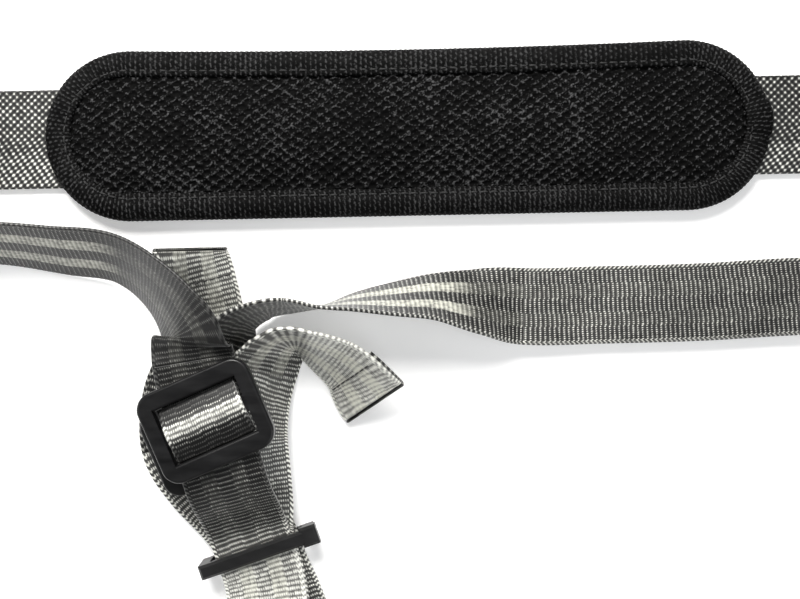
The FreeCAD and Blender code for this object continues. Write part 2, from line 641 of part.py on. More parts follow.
def finish():
    """Check every object and write one STEP file per sub-part."""
    doc.recompute()
    for obj in doc.Objects:
        if "Invalid" in obj.State or "Error" in obj.State:
            raise RuntimeError("%s is in state %s" % (obj.Label, obj.State))
    os.makedirs("parts", exist_ok=True)
    for obj in exported:
        shape = obj.Shape
        if shape.isNull() or not shape.isValid():
            raise RuntimeError(obj.Label + " has no valid shape")
        shape.exportStep("parts/%s.step" % obj.Label)
        print("%-24s volume %9.1f  solids %d" % (obj.Label, shape.Volume, len(shape.Solids)))


make_foam()
make_cover()
make_back_panel()
make_binding()
make_sleeve()
make_pad_stitching()
make_pad_webbing()
make_straps()
make_join_stitching("left_join_stitching", -1)
make_join_stitching("right_join_stitching", 1)
make_hem("left_tail", LEFT_RETURN, 12.5)
make_hem("right_tail", RIGHT_RETURN, 11.5)
make_slider("upper_slider", "0 * Params.thread", "0 * Params.thread", "Params.upper_slider_bottom")
make_slider("lower_slider", "Params.lower_slider_x", "Params.lower_slider_y", "Params.lower_slider_bottom")
make_wrap("upper_slider_wrap", "upper_slider")
make_wrap("lower_slider_wrap", "lower_slider")
make_keeper()
finish()
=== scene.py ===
"""Looks of a padded harness strap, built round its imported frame. Lengths are in mm until a mesh is made."""

import math

import bmesh
import bpy
import numpy as np
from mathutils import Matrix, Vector
from mathutils.bvhtree import BVHTree


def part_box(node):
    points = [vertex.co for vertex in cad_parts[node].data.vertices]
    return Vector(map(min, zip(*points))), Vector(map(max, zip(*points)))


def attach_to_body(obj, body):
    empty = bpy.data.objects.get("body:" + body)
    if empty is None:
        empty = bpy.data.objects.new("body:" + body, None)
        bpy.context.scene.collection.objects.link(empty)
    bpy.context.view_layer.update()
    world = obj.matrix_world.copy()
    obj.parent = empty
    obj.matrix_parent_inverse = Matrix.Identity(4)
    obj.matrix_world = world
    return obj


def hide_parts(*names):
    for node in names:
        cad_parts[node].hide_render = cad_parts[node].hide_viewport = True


MM = 0.001
UP = Vector((0, 0, 1))

# Webbing: size, rib and thread pitch, and how finely its surface is sampled.
WIDTH = 25.4
THICK = 1.2
RIB = 1.5
THREAD = 0.7
SAMPLES_PER_RIB = 4
RELIEF = 0.11
EDGE_INSET = 0.25
SELVEDGE = 1.3
PANELS = 5
PANEL_STEP = 0.17
DASH = 5.8
DOT = 1.15
BOW = 0.09
BOW_LENGTH = 7.3
PAD_WEB_WIDTH = 32
PAD_WEB_THICK = 1.4
PAD_WEB_BOTTOM = 1.1
PAD_WEB_HALF_LENGTH = 152
PAD_WEB_SPLIT = 60
JOIN_OUT = 152
JOIN_IN = 138
ON_PAD_WEB = 2.5
HEM_DROP = THICK + 0.1
LEFT_HEM = 12.5
RIGHT_HEM = 11.5
THIN_THREAD = 0.24
EDGE_THREAD = 0.26
SLEEVE_THREAD = 0.2

# The group of adjusters: origin and lean of its strap, and the lug loops.
GROUP = (-63.2, -89.9)
GROUP_LEAN = math.radians(20)
SLIDER_SKEW = math.radians(2.5)
LOOP_RADIUS = 5.6
LEFT_LOOP_LOW = 3.4
LEFT_LOOP_HIGH = LEFT_LOOP_LOW + 2 * LOOP_RADIUS
RIGHT_LOOP_HIGH = 2 * LOOP_RADIUS
UPPER_SLIDER_BOTTOM = 20.9
LOWER_SLIDER_BOTTOM = 3.1
LOWER_SLIDER_AT = (-6.5, -5.5)

# The pad: two round ends, a straight lower edge and a slightly waisted upper edge.
PAD_SPAN = 89.5
PAD_RADIUS = 27.5
WAIST = 3300
BINDING_RIB = 1.6
STITCH_INSET = 7.0
STITCH_HEIGHT = 7.35
COVER_INSET = 5.2
COVER_FLOOR = 4.7
COVER_EDGE = 6.0
COVER_CROWN = 9.3
COVER_STEP = 0.42
COVER_SHOULDER = 11
CORE_STEP = 3
CORE_VOXEL = 1.6
PUFF_FRAMES = 20
PUFF_CAP = 1.7
BACK_FLOOR = 3.85
BACK_TOP = 4.55

# Camera, lights and floor. The camera's place and the floor's drop are in mm, the rest in metres.
CAMERA_LENS = 41.2
SENSOR_WIDTH = 36
CAMERA_PLACE = (-3.7, -54.4, 300)
CAMERA_TURN = math.radians(-1.15)
LIGHTS_AIM = (0, -0.06, 0)
WORLD_STRENGTH = 0.22
FLOOR_HALF = 1.6
FLOOR_DROP = 0.1
FLOOR_GLOW = 0.27

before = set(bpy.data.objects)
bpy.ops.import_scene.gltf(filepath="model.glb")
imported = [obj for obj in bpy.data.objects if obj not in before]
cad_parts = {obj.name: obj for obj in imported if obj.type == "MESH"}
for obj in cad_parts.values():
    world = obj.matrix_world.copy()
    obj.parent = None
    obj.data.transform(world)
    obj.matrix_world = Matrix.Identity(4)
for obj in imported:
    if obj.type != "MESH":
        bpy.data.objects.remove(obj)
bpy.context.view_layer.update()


# ---------------------------------------------------------------- camera, light and floor
def make_camera():
    """Straight down on the adjusters and the pad, turned a little about the vertical."""
    data = bpy.data.cameras.new("camera")
    data.lens = CAMERA_LENS
    data.sensor_width = SENSOR_WIDTH
    camera = bpy.data.objects.new("camera", data)
    bpy.context.collection.objects.link(camera)
    camera.location = Vector(CAMERA_PLACE) * MM
    camera.rotation_euler = (0, 0, CAMERA_TURN)
    bpy.context.scene.camera = camera


def area_light(name, place, size, power, colour):
    """Round area light at a place, turned towards the object."""
    data = bpy.data.lights.new(name, "AREA")
    data.shape = "DISK"
    data.size = size
    data.energy = power
    data.color = colour
    light = bpy.data.objects.new(name, data)
    bpy.context.collection.objects.link(light)
    light.location = place
    light.rotation_euler = (Vector(LIGHTS_AIM) - Vector(place)).to_track_quat("-Z", "Y").to_euler()


def make_lights():
    """Key light from beyond the pad, a soft fill from the right, a weak rim light and a pale world."""
    area_light("key", place=(-0.14, 0.5, 0.6), size=0.42, power=11.5, colour=(1, 0.985, 0.96))
    area_light("fill", place=(0.5, -0.35, 0.7), size=0.8, power=3, colour=(0.96, 0.98, 1))
    area_light("rim", place=(-0.6, -0.1, 0.35), size=0.4, power=1, colour=(1, 1, 1))
    world = bpy.data.worlds.new("world")
    world.use_nodes = True
    background = world.node_tree.nodes["Background"]
    background.inputs["Color"].default_value = (1, 1, 1, 1)
    background.inputs["Strength"].default_value = WORLD_STRENGTH
    bpy.context.scene.world = world
    bpy.context.scene.view_settings.view_transform = "Standard"


def make_floor(material):
    """Table top, a little below the webbing that lies on it."""
    mesh = bpy.data.meshes.new("floor")
    half = FLOOR_HALF
    corners = [(-half, -half, 0), (half, -half, 0), (half, half, 0), (-half, half, 0)]
    mesh.from_pydata(corners, [], [(0, 1, 2, 3)])
    floor = bpy.data.objects.new("floor", mesh)
    floor.location.z = -FLOOR_DROP * MM
    mesh.materials.append(material)
    bpy.context.collection.objects.link(floor)


# ---------------------------------------------------------------- materials
class Nodes:
    """A material's node tree with short calls for adding and joining nodes."""

    def __init__(self, name):
        self.material = bpy.data.materials.new(name)
        self.material.use_nodes = True
        self.tree = self.material.node_tree
        self.shader = self.tree.nodes["Principled BSDF"]

    def set(self, **values):
        """Values on the shader's own sockets."""
        for name, value in values.items():
            self.shader.inputs[name.replace("_", " ")].default_value = value

    def add(self, kind, inputs=None, **settings):
        """New node with its settings, its inputs linked or set."""
        node = self.tree.nodes.new("ShaderNode" + kind)
        for name, value in settings.items():
            setattr(node, name, value)
        for name, value in (inputs or {}).items():
            self.link(value, node.inputs[name])
        return node

    def link(self, value, socket):
        """Join another node's socket to this one, or set a plain value."""
        if isinstance(value, bpy.types.NodeSocket):
            self.tree.links.new(value, socket)
        else:
            socket.default_value = value

    def attribute(self, name):
        """A float attribute of the mesh."""
        return self.add("Attribute", attribute_name=name).outputs["Fac"]

    def noise(self, scale, detail=3.0, stretch=(1, 1, 1)):
        """Noise in the object's own space, its scale in features per metre."""
        place = self.add("TexCoord").outputs["Object"]
        mapped = self.add("Mapping", {"Vector": place, "Scale": stretch}).outputs["Vector"]
        return self.add("TexNoise", {"Vector": mapped, "Scale": scale, "Detail": detail}).outputs["Fac"]

    def spread(self, noise, low, high):
        """Noise, most of which lies between 0.3 and 0.7, spread over low to high."""
        return self.remap(noise, 0.3, 0.7, low, high)

    def remap(self, value, low, high, to_low, to_high):
        node = self.add("MapRange", {"Value": value, "From Min": low, "From Max": high,
                                     "To Min": to_low, "To Max": to_high})
        return node.outputs["Result"]

    def math(self, operation, a, b):
        node = self.add("Math", operation=operation)
        self.link(a, node.inputs[0])
        self.link(b, node.inputs[1])
        return node.outputs[0]

    def ramp(self, value, stops):
        """Colour along a ramp of (position, colour) stops."""
        node = self.add("ValToRGB", {"Fac": value})
        elements = node.color_ramp.elements
        while len(elements) < len(stops):
            elements.new(0.5)
        for element, (place, colour) in zip(elements, stops):
            element.position = place
            element.color = (*colour, 1)
        return node.outputs["Color"]

    def mix(self, factor, a, b, blend="MIX"):
        node = self.add("Mix", data_type="RGBA", blend_type=blend)
        self.link(factor, node.inputs[0])
        for value, socket in ((a, node.inputs[6]), (b, node.inputs[7])):
            self.link(value if isinstance(value, bpy.types.NodeSocket) else (*value, 1), socket)
        return node.outputs[2]

    def bump(self, height, strength, distance):
        """Fine relief on the shader's normal; distance is in mm."""
        node = self.add("Bump", {"Height": height, "Strength": strength, "Distance": distance * MM})
        self.tree.links.new(node.outputs["Normal"], self.shader.inputs["Normal"])


def webbing_material(name, dark, middle, light, pale):
    """Ribbed polyester: tone follows the weave with its painted highlights and shade, and a painted sheen
    pales the striped panels.
    """
    nodes = Nodes(name)
    tone = nodes.attribute("tone")
    drift = nodes.spread(nodes.noise(38, 4), -0.07, 0.07)
    fibres = nodes.spread(nodes.noise(1400, 2), -0.06, 0.06)
    level = nodes.math("ADD", nodes.math("ADD", tone, drift), fibres)
    body = nodes.ramp(level, [(0.05, dark), (0.5, middle), (0.95, light)])
    # Painted sheen: the shine attribute mixes the striped panels towards the pale colour.
    striped = nodes.mix(nodes.attribute("shine"), body, pale)
    nodes.tree.links.new(striped, nodes.shader.inputs["Base Color"])
    rough = nodes.spread(nodes.noise(700, 2), 0.36, 0.5)
    nodes.tree.links.new(rough, nodes.shader.inputs["Roughness"])
    nodes.set(Metallic=0.35, Sheen_Weight=0.2, Sheen_Roughness=0.4)
    nodes.bump(nodes.noise(2600, 3), 0.35, 0.05)
    return nodes.material


def cloth_material(name, dark, light, rough, sheen, fine, bump):
    """Black cloth whose tone follows the piece's own relief; fine is the grain's scale per metre."""
    nodes = Nodes(name)
    tone = nodes.attribute("tone")
    drift = nodes.spread(nodes.noise(60, 4), -0.12, 0.12)
    lint = nodes.remap(nodes.noise(fine, 3), 0.35, 0.75, -0.3, 0.5)
    level = nodes.math("ADD", nodes.math("ADD", tone, drift), lint)
    colour = nodes.ramp(level, [(0.28, dark), (1.0, light)])
    nodes.tree.links.new(colour, nodes.shader.inputs["Base Color"])
    worn = nodes.spread(nodes.noise(300, 2), rough - 0.08, rough + 0.08)
    nodes.tree.links.new(worn, nodes.shader.inputs["Roughness"])
    nodes.set(Sheen_Weight=sheen, Sheen_Roughness=0.5, Specular_IOR_Level=0.08)
    nodes.bump(nodes.noise(fine, 3), bump, 0.12)
    return nodes.material


def plastic_material(name):
    """Black moulded acetal: fine grain, slightly polished and paler where edges have rubbed."""
    nodes = Nodes(name)
    grain = nodes.noise(1500, 3)
    scuff = nodes.noise(90, 6, (1, 4, 1))
    edges = nodes.add("NewGeometry").outputs["Pointiness"]
    worn = nodes.remap(edges, 0.52, 0.6, 0, 0.35)
    colour = nodes.ramp(scuff, [(0.3, (0.003, 0.003, 0.0033)), (0.75, (0.009, 0.009, 0.0095))])
    rubbed = nodes.mix(worn, colour, (0.03, 0.03, 0.03))
    nodes.tree.links.new(rubbed, nodes.shader.inputs["Base Color"])
    rough = nodes.spread(scuff, 0.28, 0.42)
    nodes.tree.links.new(rough, nodes.shader.inputs["Roughness"])
    nodes.set(Specular_IOR_Level=0.3)
    nodes.bump(grain, 0.25, 0.05)
    return nodes.material


def thread_material(name, dark, light):
    """Twisted sewing thread."""
    nodes = Nodes(name)
    twist = nodes.noise(1800, 2, (1, 3, 1))
    colour = nodes.ramp(twist, [(0.35, dark), (0.65, light)])
    nodes.tree.links.new(colour, nodes.shader.inputs["Base Color"])
    nodes.set(Roughness=0.5, Sheen_Weight=0.1, Specular_IOR_Level=0.3)
    nodes.bump(twist, 0.5, 0.08)
    return nodes.material


def floor_material():
    """White paper that glows a little, so that it stays white under soft light."""
    nodes = Nodes("floor_white")
    shade = nodes.ramp(nodes.noise(3, 2), [(0.3, (0.9, 0.9, 0.9)), (0.7, (0.93, 0.93, 0.93))])
    nodes.tree.links.new(shade, nodes.shader.inputs["Base Color"])
    nodes.set(Roughness=0.9, Emission_Color=(1, 1, 1, 1), Emission_Strength=FLOOR_GLOW)
    return nodes.material


# ---------------------------------------------------------------- meshes
def mesh_object(name, points, faces, material, attributes=None):
    """Object from points in mm, with smooth shading and one float attribute per entry."""
    mesh = bpy.data.meshes.new(name)
    mesh.from_pydata((np.asarray(points, float) * MM).tolist(), [], faces)
    mesh.polygons.foreach_set("use_smooth", [True] * len(mesh.polygons))
    for label, values in (attributes or {}).items():
        layer = mesh.attributes.new(label, "FLOAT", "POINT")
        layer.data.foreach_set("value", np.asarray(values, np.float32).ravel())
    mesh.materials.append(material)
    mesh.update()
    obj = bpy.data.objects.new(name, mesh)
    bpy.context.collection.objects.link(obj)
    return obj


def attach(obj, body, slot, *nodes):
    """Ride on a body and stand for these CAD nodes. The slot is not used."""
    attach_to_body(obj, body)
    if nodes:
        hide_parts(*nodes)
    return obj


def ring_faces(rows, columns, closed_rows=False):
    """Quads between rows of a tube whose sections close on themselves; open ends are capped."""
    faces = []
    for i in range(rows if closed_rows else rows - 1):
        low, high = i * columns, (i + 1) % rows * columns
        for j in range(columns):
            k = (j + 1) % columns
            faces.append((low + j, low + k, high + k, high + j))
    if not closed_rows:
        faces.append(tuple(reversed(range(columns))))
        faces.append(tuple(range((rows - 1) * columns, rows * columns)))
    return faces


# ---------------------------------------------------------------- webbing paths, as in the CAD model
def at_group(x, y, lift, lean=0):
    """Station on the adjusters' strap: x across it and y up it, from the group's origin."""
    turn, base = GROUP_LEAN, GROUP
    return (base[0] + x * math.cos(turn) - y * math.sin(turn),
            base[1] + x * math.sin(turn) + y * math.cos(turn), lift, lean)


def free_slopes(knots, values):
    """Slopes of a smooth track through the values, one per knot."""
    rates = [(vb - va) / (kb - ka) for ka, kb, va, vb in zip(knots, knots[1:], values, values[1:])]
    slopes = [rates[0]]
    for i in range(1, len(knots) - 1):
        before, after = knots[i] - knots[i - 1], knots[i + 1] - knots[i]
        slopes.append((rates[i - 1] * after + rates[i] * before) / (before + after))
    return slopes + [rates[-1]]


def steady_slopes(knots, values):
    """Slopes that never overshoot the values (harmonic mean, level at every turn)."""
    rates = [(vb - va) / (kb - ka) for ka, kb, va, vb in zip(knots, knots[1:], values, values[1:])]
    slopes = [0.0]
    for before, after in zip(rates, rates[1:]):
        slopes.append(2 * before * after / (before + after) if before * after > 0 else 0.0)
    return slopes + [0.0]


class Path:
    """Webbing centre line through stations (x, y, lift, lean), the same as the CAD model's."""

    def __init__(self, stations):
        self.knots = [0.0]
        for start, end in zip(stations, stations[1:]):
            self.knots.append(self.knots[-1] + math.dist(start[:3], end[:3]))
        self.values = list(zip(*stations))
        makers = (free_slopes, free_slopes, steady_slopes, steady_slopes)
        self.slopes = [make(self.knots, track) for make, track in zip(makers, self.values)]

    def station(self, at):
        """x, y, lift and lean at a distance along."""
        last = len(self.knots) - 2
        i = min(last, max(0, sum(1 for knot in self.knots if knot <= at) - 1))
        gap = self.knots[i + 1] - self.knots[i]
        u = (at - self.knots[i]) / gap
        rise = u * u * (3 - 2 * u)
        found = []
        for values, slopes in zip(self.values, self.slopes):
            bend = u * (1 - u) * ((1 - u) * slopes[i] - u * slopes[i + 1]) * gap
            found.append(values[i] * (1 - rise) + values[i + 1] * rise + bend)
        return found

    def centre(self, at):
        x, y, lift, lean = self.station(at)
        turn = math.radians(lean)
        height = lift + abs(WIDTH / 2 * math.sin(turn)) + abs(THICK / 2 * math.cos(turn))
        return Vector((x, y, height))

    def frame(self, at):
        """Centre, direction ahead, across-webbing direction and face normal."""
        nudge = 0.05
        low, high = max(0.0, at - nudge), min(self.knots[-1], at + nudge)
        ahead = (self.centre(high) - self.centre(low)).normalized()
        left = UP.cross(ahead).normalized()
        above = ahead.cross(left)
        lean = math.radians(self.station(at)[3])
        across = left * math.cos(lean) + above * math.sin(lean)
        return self.centre(at), ahead, across, above * math.cos(lean) - left * math.sin(lean)


def steps_between(start, end):
    """Distances from start to end, a few for each rib."""
    count = max(2, int(round((end - start) / (RIB / SAMPLES_PER_RIB))) + 1)
    return [start + (end - start) * i / (count - 1) for i in range(count)]


def path_strip(path, start, end, offset=0.0):
    """Rows (distance, centre, across, normal) along a path."""
    rows = []
    for at in steps_between(start, end):
        centre, _, across, normal = path.frame(at)
        rows.append((at, centre + normal * offset, across, normal))
    return rows


def turn_strip(start_at, hub, radius, ahead, across, above, sweep=math.pi):
    """Rows round a bend that starts on top of the hub and dives ahead of it."""
    rows = []
    for at in steps_between(0, radius * sweep):
        angle = at / radius
        outward = above * math.cos(angle) + ahead * math.sin(angle)
        rows.append((start_at + at, hub + outward * radius, across, outward))
    return rows


# ---------------------------------------------------------------- webbing
def speckle(i, j):
    """The same scattered value from 0 to 1 for each pair of whole numbers."""
    mixed = np.sin(i * 12.9898 + j * 78.233) * 43758.5453
    return mixed - np.floor(mixed)


def wave(turns):
    """1 at every whole turn, 0 half-way between."""
    return 0.5 + 0.5 * np.cos(2 * math.pi * turns)


def twill(across, along, width):
    """Relief, tone and stripe mask of the pad's dotted webbing, each from 0 to 1.

    The dots lie in straight columns above the middle and in slanted ones below it, where they are paler.
    """
    slant, fade = 0.35, 1.5
    shifted = along + slant * np.maximum(-across, 0)
    dots = np.cos(math.pi * across / DOT) * np.cos(math.pi * shifted / DOT)
    selvedge = np.abs(across) > width / 2 - SELVEDGE
    lower = 0.5 - 0.5 * np.tanh((across + width / 6) / fade)
    relief = 0.5 + 0.5 * dots
    # glint: painted highlights scattered over the dots.
    glint = speckle(np.floor(along / DOT), np.floor(across / DOT)) - 0.5
    tone = 0.22 + 0.75 * dots + 0.16 * lower - 0.1 * selvedge + 0.3 * glint
    return np.clip(relief, 0, 1), np.clip(tone, 0, 1), 0 * tone


def ribs(across, along, width):
    """Relief, tone and stripe mask of ribbed webbing whose panels are woven a little out of step."""
    half = width / 2
    panel = (width - 2 * SELVEDGE) / PANELS
    place = (across + half - SELVEDGE) / panel
    number = np.clip(np.floor(place), 0, PANELS - 1)
    striped = number % 2 == 1
    rib = wave(along / RIB + PANEL_STEP * striped)
    thread = wave((across + half - EDGE_INSET) / THREAD)
    seam_width = 0.3
    from_seam = np.abs(place - np.round(place)) * panel
    seam = np.exp(-(from_seam / seam_width) ** 2) * (place > 0.5) * (place < PANELS - 0.5)
    selvedge = np.abs(across) > half - SELVEDGE
    dash = np.cos(2 * math.pi * along / DASH) > 0.1
    seam_tone = np.where(dash, 0.3, -0.1)
    relief = 0.25 + 0.75 * rib * (0.7 + 0.3 * thread) - 0.15 * seam
    # Partly the weave's own look and partly painted highlight: rib crests and threads are lighter and grooves
    # darker, and glint scatters painted thread highlights.
    glint = speckle(np.floor(along / RIB + 0.5), np.floor(across / THREAD)) - 0.5
    tone = 0.01 + rib ** 2 * (0.12 + 1.05 * thread) + seam * rib * seam_tone + 0.4 * glint * rib
    check_slant = 0.6
    checks = np.cos(2 * math.pi * (along + check_slant * np.abs(across)) / RIB) > 0
    tone = np.where(selvedge, np.where(checks, 0.7, 0.1), tone)
    relief = np.where(selvedge, 0.35 + 0.65 * checks, relief)
    # The stripe mask is a painted sheen on the striped panels, strongest on rib crests and glints.
    stripe = striped * ~selvedge * np.clip(0.35 + 0.5 * rib + 0.5 * glint, 0, 1)
    return np.clip(relief, 0, 1), np.clip(tone, 0, 1), stripe


def strength(along, marks):
    """Straight-line value between (distance, value) marks."""
    return np.interp(along, [mark[0] for mark in marks], [mark[1] for mark in marks])


def ribbon(name, rows, nodes, body="harness", width=WIDTH, thick=THICK, weave=ribs,
           stripe_sheen=((0, 0.12),), shade=((0, 0),)):
    """Closed webbing mesh along the rows, with ribs, threads and selvedges in its surface.

    Stripe sheen and shade are (distance, value) marks: how strongly a painted sheen pales the striped panels,
    and the painted light (above 0) and painted shade (below 0) added to the tone.
    """
    half = width / 2
    reach = half - EDGE_INSET
    flat = np.linspace(-reach, reach, int(round(2 * reach / (THREAD / 2))) + 1)
    across = np.concatenate([flat, [half, half], flat[::-1], [-half, -half]])
    edge = 0.3 * thick
    hair = 0.01
    side = np.concatenate([np.ones(len(flat)), [edge, -edge], -np.ones(len(flat)), [-edge, edge]])
    is_edge = np.abs(across) >= half - hair
    along = np.array([row[0] for row in rows])[:, None]
    relief, tone, stripe = weave(across[None, :], along, width)
    height = np.where(is_edge[None, :], side[None, :],
                      side[None, :] * (thick / 2 - RELIEF + RELIEF * relief))
    centres, sideways, normals = (np.array([list(row[i]) for row in rows]) for i in (1, 2, 3))
    start = 1.1 * len(name)
    bow = BOW * np.sin(along / BOW_LENGTH + start) * np.cos(across[None, :] * math.pi / width)
    points = (centres[:, None, :] + sideways[:, None, :] * across[None, :, None]
              + normals[:, None, :] * (height + bow)[:, :, None])
    # Painted light and shade along the strap, then the painted sheen of the striped panels.
    tone = np.clip(tone + strength(along, shade), 0, 1)
    shine = stripe * strength(along, stripe_sheen)
    obj = mesh_object(name, points.reshape(-1, 3), ring_faces(len(rows), len(across)),
                      MATERIALS["webbing"], {"tone": tone, "shine": shine})
    return attach(obj, body, "webbing", *nodes)


LEFT_STRAP = Path([
    (-JOIN_IN, 0, ON_PAD_WEB, 0), (-JOIN_OUT - 1, 0, ON_PAD_WEB, 0), (-160, -0.3, 1.6, 18),
    (-169, -1.4, 0.5, 52), (-180, -4, 0.2, 82), (-191, -13, 0.2, 90), (-190, -25, 0.2, 90),
    (-178, -33, 0.2, 82), (-155, -34.2, 0.2, 70), (-129.6, -34.5, 0.2, 62), (-111, -37, 0.6, 57),
    (-92.8, -40, 2.6, 54), (-81.1, -47.3, 6.8, 50), (-72.4, -56.6, 11.8, 42),
    at_group(4.2, 26.4, 16.2, 29), at_group(3.2, 22, 18.4, 7), at_group(2.4, 18.4, 19.4, 0),
    at_group(0, 0, 19.4, 0), at_group(-1.2, -12, 19.4, 0), at_group(-1.8, -19, 19.2, 0),
    at_group(-2.6, -26, 15.8, 0), at_group(-3.4, -33, 9.6, 0), at_group(-4, -39.5, 6.3, 0),
    at_group(-4.3, -46, 6.3, 0), at_group(-4.8, -54, 6.3, 0), at_group(-6.4, -63, 7.9, 0),
    at_group(-8.8, -72, 11.8, 0), at_group(-11.4, -81, LEFT_LOOP_HIGH, 0)])

RIGHT_STRAP = Path([
    (JOIN_IN, 0, ON_PAD_WEB, 0), (JOIN_OUT + 1, 0, ON_PAD_WEB, 0), (161, -0.6, 1.4, 20),
    (170, -3, 0.5, 54), (182, -12, 0.2, 86), (187, -28, 0.2, 90), (182, -44, 0.2, 84),
    (168, -54, 0.2, 45), (150, -56, 0.2, 15), (126.3, -55.9, 0.2, 10), (94, -57.1, 0.2, 9),
    (61.4, -57.4, 0.2, 9), (36, -57.3, 0.2, 13), (20.2, -55.4, 0.2, 38), (6.5, -53.7, 0.2, 56),
    (-5, -54.1, 0.2, 66), (-17.8, -54.8, 0.2, 78), (-28.8, -56.1, 0.2, 90),
    (-38.6, -55.8, 0.4, 99), (-47, -57, 1.5, 102), (-53.8, -60.2, 1.5, 107),
    at_group(13.8, 22.7, 1.5, 121), at_group(7.4, 21.4, 1.5, 162), at_group(-1, 17, 1.5, 180),
    at_group(-8, 11, 1.5, 180), at_group(-13, 3, 1.5, 180), at_group(-15.6, -5, 1.5, 180),
    at_group(-13, -19, 1.5, 180), at_group(-9.6, -27, 1.6, 180), at_group(-6.9, -33, 2.5, 180),
    at_group(-4.8, -39, 3.2, 180),
    at_group(-3.2, -46, 3.3, 180), at_group(-2.6, -54, 3.3, 180), at_group(-2.5, -63, 1.8, 180),
    at_group(-2.5, -74, 1.5, 180), at_group(-2.5, -88, 2.3, 180), at_group(-2.5, -100, 6.6, 180),
    at_group(-2.5, -112, RIGHT_LOOP_HIGH, 180)])

LEFT_RETURN = Path([
    at_group(-11.4, -81, LEFT_LOOP_LOW), at_group(-8.8, -72, 3.6), at_group(-6.2, -63, 4.6),
    at_group(-4.5, -54, 4.8), at_group(-3.8, -46, 4.8), at_group(-2.6, -39.5, 4.9),
    at_group(0.4, -32, 5.3, 5), at_group(3.6, -23, 7.3, 12), at_group(7.2, -12, 7.4, 20),
    at_group(12.6, -1.6, 3.8, 31), at_group(19.2, 7.2, 0.5, 38), at_group(23, 10.6, 0.3, 46),
    at_group(26.2, 12.6, 0.2, 57), at_group(29.2, 13.4, 0.2, 66), at_group(32.4, 12.7, 0.2, 69),
    at_group(36, 9.6, 0.2, 64), at_group(41.2, 3.4, 0.3, 52), at_group(45.2, -3.9, 1.2, 43),
    at_group(48.1, -14.5, 1.6, 28)])

RIGHT_RETURN = Path([
    at_group(-2.5, -112, 0), at_group(-2.5, -88, 0), at_group(-2.5, -74, 0),
    at_group(-2.5, -63, 0.3), at_group(-2.8, -54, 1.8), at_group(-2.8, -46, 1.8),
    at_group(-2.6, -39, 1.7), at_group(-2.2, -33, 0.6), at_group(-1.6, -27, 0), at_group(-0.2, -15, 0),
    at_group(1.4, 0, 0), at_group(4.2, 16, 0), at_group(6.4, 29, 0),
    at_group(8.8, 40, 0.8, 20), at_group(12.2, 51, 1.6, 40)])


def make_runs():
    """Every run of strap, split at the same stations as in the CAD model: (name, path, start, end,
    marks of the painted sheen on the striped panels, marks of the painted light and shade on the tone)."""
    left, right = LEFT_STRAP.knots, RIGHT_STRAP.knots
    back, low = LEFT_RETURN.knots, RIGHT_RETURN.knots
    # Painted light: lit, faint, turned and the tails' marks pale the striped panels where they face the key
    # light; the shade marks brighten the tone where the webbing is lit and darken it where it is shaded.
    lit = ((right[13], 0.1), (right[14] - 6, 1), (right[16], 1), (right[18], 0.2), (right[20], 0.05))
    faint = ((left[8], 0.5), (left[11] - 8, 0.6), (left[11] + 3, 0.05))
    turned = ((left[7], 0.1), (left[8], 0.5))
    left_tail, right_tail = ((back[10], 0.25), (back[14], 0.95)), ((low[11], 0.2), (low[-1], 0.5))
    plain, even = ((0, 0.03),), ((0, 0),)
    bend_shade = ((left[9], -0.16), (left[13], -0.36))
    strand_shade = ((left[18], -0.28), (left[21], 0), (left[22], 0.18), (left[23], 0.4))
    tail_shade = ((back[11], 0.2), (back[15], 0.55))
    runs = [
        ("left_strap_turn", LEFT_STRAP, 0, left[8], turned, even),
        ("left_strap", LEFT_STRAP, left[8], left[16], faint, bend_shade),
        ("left_strand", LEFT_STRAP, left[16], left[23], plain, strand_shade),
        ("left_loop_top", LEFT_STRAP, left[23], left[-1], ((0, 0.65),), ((0, 0.5),)),
        ("right_strap_turn", RIGHT_STRAP, 0, right[8], plain, even),
        ("right_strap", RIGHT_STRAP, right[8], right[12], plain, ((0, 0.06),)),
        ("right_strap_twist", RIGHT_STRAP, right[12], right[26], lit, even),
        ("right_strand", RIGHT_STRAP, right[26], right[33], plain, ((0, 0.25),)),
        ("right_loop_top", RIGHT_STRAP, right[33], right[-1], plain, ((0, 0.2),)),
        ("left_return", LEFT_RETURN, 0, back[10], plain, ((0, 0.3),)),
        ("left_tail", LEFT_RETURN, back[10], back[-1], left_tail, tail_shade),
        ("right_return", RIGHT_RETURN, 0, low[10], plain, ((0, 0.35),)),
        ("right_tail", RIGHT_RETURN, low[10], low[-1], right_tail, ((0, 0.4),))]
    for name, path, start, end, stripe_sheen, shade in runs:
        ribbon(name + "_weave", path_strip(path, start, end), (name,), stripe_sheen=stripe_sheen, shade=shade)
    for side, path, floor in (("left", LEFT_STRAP, LEFT_LOOP_LOW), ("right", RIGHT_STRAP, 0)):
        make_lug_loop(side + "_lug_loop", path, floor)
    make_pad_webbing()


def flattened(direction):
    """The same heading with no rise."""
    return Vector((direction.x, direction.y, 0)).normalized()


def make_lug_loop(name, path, floor):
    """Half turn of webbing at the end of a strap, round the lug of whatever is hung on it."""
    centre, ahead, across, _ = path.frame(path.knots[-1])
    ahead, across = flattened(ahead), flattened(across)
    clearance = 0.1
    hub = Vector((centre.x, centre.y, floor + THICK / 2 + LOOP_RADIUS)) + ahead * clearance
    ribbon(name + "_weave", turn_strip(path.knots[-1], hub, LOOP_RADIUS, ahead, across, UP), (name,))


